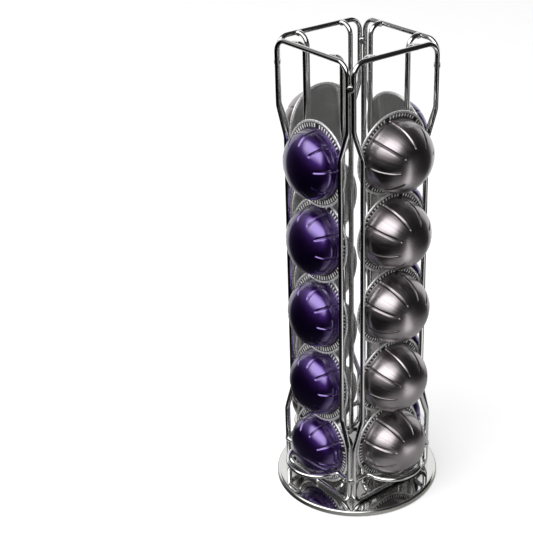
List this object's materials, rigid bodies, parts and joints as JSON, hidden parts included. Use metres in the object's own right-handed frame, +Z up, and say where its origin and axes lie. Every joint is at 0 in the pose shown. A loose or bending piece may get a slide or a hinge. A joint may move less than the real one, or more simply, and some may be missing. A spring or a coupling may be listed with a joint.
{
  "type": "capsule dispenser",
  "caption": "Rotating chrome wire tower that stacks domed coffee capsules in upright channels on a round polished disc.",
  "frame": {"origin": "on the turning axis, at the underside of the rubber pads", "axes": "+Z up along the turning axis; channels 1, 2, 3 and 4 face -Y, +X, +Y and -X"},
  "size_m": [0.1308, 0.128, 0.3537],
  "materials": {
    "chrome_wire": "polished",
    "welded_chrome": "polished",
    "polished_disc": "mirror polished",
    "violet_aluminium": "satin lacquer",
    "gunmetal_aluminium": "satin lacquer",
    "zinc_steel": "zinc plated",
    "black_acetal": "matte",
    "black_rubber": "matte"
  },
  "bodies": {
    "foot": {"foot_plate": "zinc_steel", "glide_ring": "black_acetal", "foot_pad_1": "black_rubber", "foot_pad_2": "black_rubber", "foot_pad_3": "black_rubber", "foot_pad_4": "black_rubber"},
    "rack": {"pivot_rivet": "zinc_steel", "base_disc": "polished_disc", "face_frame_1": "chrome_wire", "face_frame_2": "chrome_wire", "face_frame_3": "chrome_wire", "face_frame_4": "chrome_wire", "back_rail_1a": "chrome_wire", "back_rail_1b": "chrome_wire", "back_rail_2a": "chrome_wire", "back_rail_2b": "chrome_wire", "back_rail_3a": "chrome_wire", "back_rail_3b": "chrome_wire", "back_rail_4a": "chrome_wire", "back_rail_4b": "chrome_wire", "stop_hoop_1": "chrome_wire", "stop_hoop_2": "chrome_wire", "stop_hoop_3": "chrome_wire", "stop_hoop_4": "chrome_wire", "upper_tie_1": "welded_chrome", "upper_tie_2": "welded_chrome", "upper_tie_3": "welded_chrome", "upper_tie_4": "welded_chrome", "lower_tie_1": "welded_chrome", "lower_tie_2": "welded_chrome", "lower_tie_3": "welded_chrome", "lower_tie_4": "welded_chrome", "capsule_1_1": "violet_aluminium", "capsule_1_2": "violet_aluminium", "capsule_1_3": "violet_aluminium", "capsule_1_4": "violet_aluminium", "capsule_2_1": "gunmetal_aluminium", "capsule_2_2": "gunmetal_aluminium", "capsule_2_3": "gunmetal_aluminium", "capsule_2_4": "gunmetal_aluminium", "capsule_3_1": "violet_aluminium", "capsule_3_2": "violet_aluminium", "capsule_3_3": "violet_aluminium", "capsule_3_4": "violet_aluminium", "capsule_4_1": "gunmetal_aluminium", "capsule_4_2": "gunmetal_aluminium", "capsule_4_3": "gunmetal_aluminium", "capsule_4_4": "gunmetal_aluminium"},
    "top_capsule_1": {"capsule_1_5": "violet_aluminium"},
    "top_capsule_2": {"capsule_2_5": "gunmetal_aluminium"},
    "top_capsule_3": {"capsule_3_5": "violet_aluminium"},
    "top_capsule_4": {"capsule_4_5": "gunmetal_aluminium"}
  },
  "joints": [
    {"name": "rack_spin", "type": "hinge", "parent": "foot", "child": "rack", "pos_m": [0, 0, 0.0033], "axis": [0, 0, 1], "continuous": true},
    {"name": "top_capsule_1_lift", "type": "slide", "parent": "rack", "child": "top_capsule_1", "axis": [0, 0, 1], "range_m": [0, 0.05]},
    {"name": "top_capsule_2_lift", "type": "slide", "parent": "rack", "child": "top_capsule_2", "axis": [0, 0, 1], "range_m": [0, 0.038]},
    {"name": "top_capsule_3_lift", "type": "slide", "parent": "rack", "child": "top_capsule_3", "axis": [0, 0, 1], "range_m": [0, 0.045]},
    {"name": "top_capsule_4_lift", "type": "slide", "parent": "rack", "child": "top_capsule_4", "axis": [0, 0, 1], "range_m": [0, 0.038]}
  ]
}
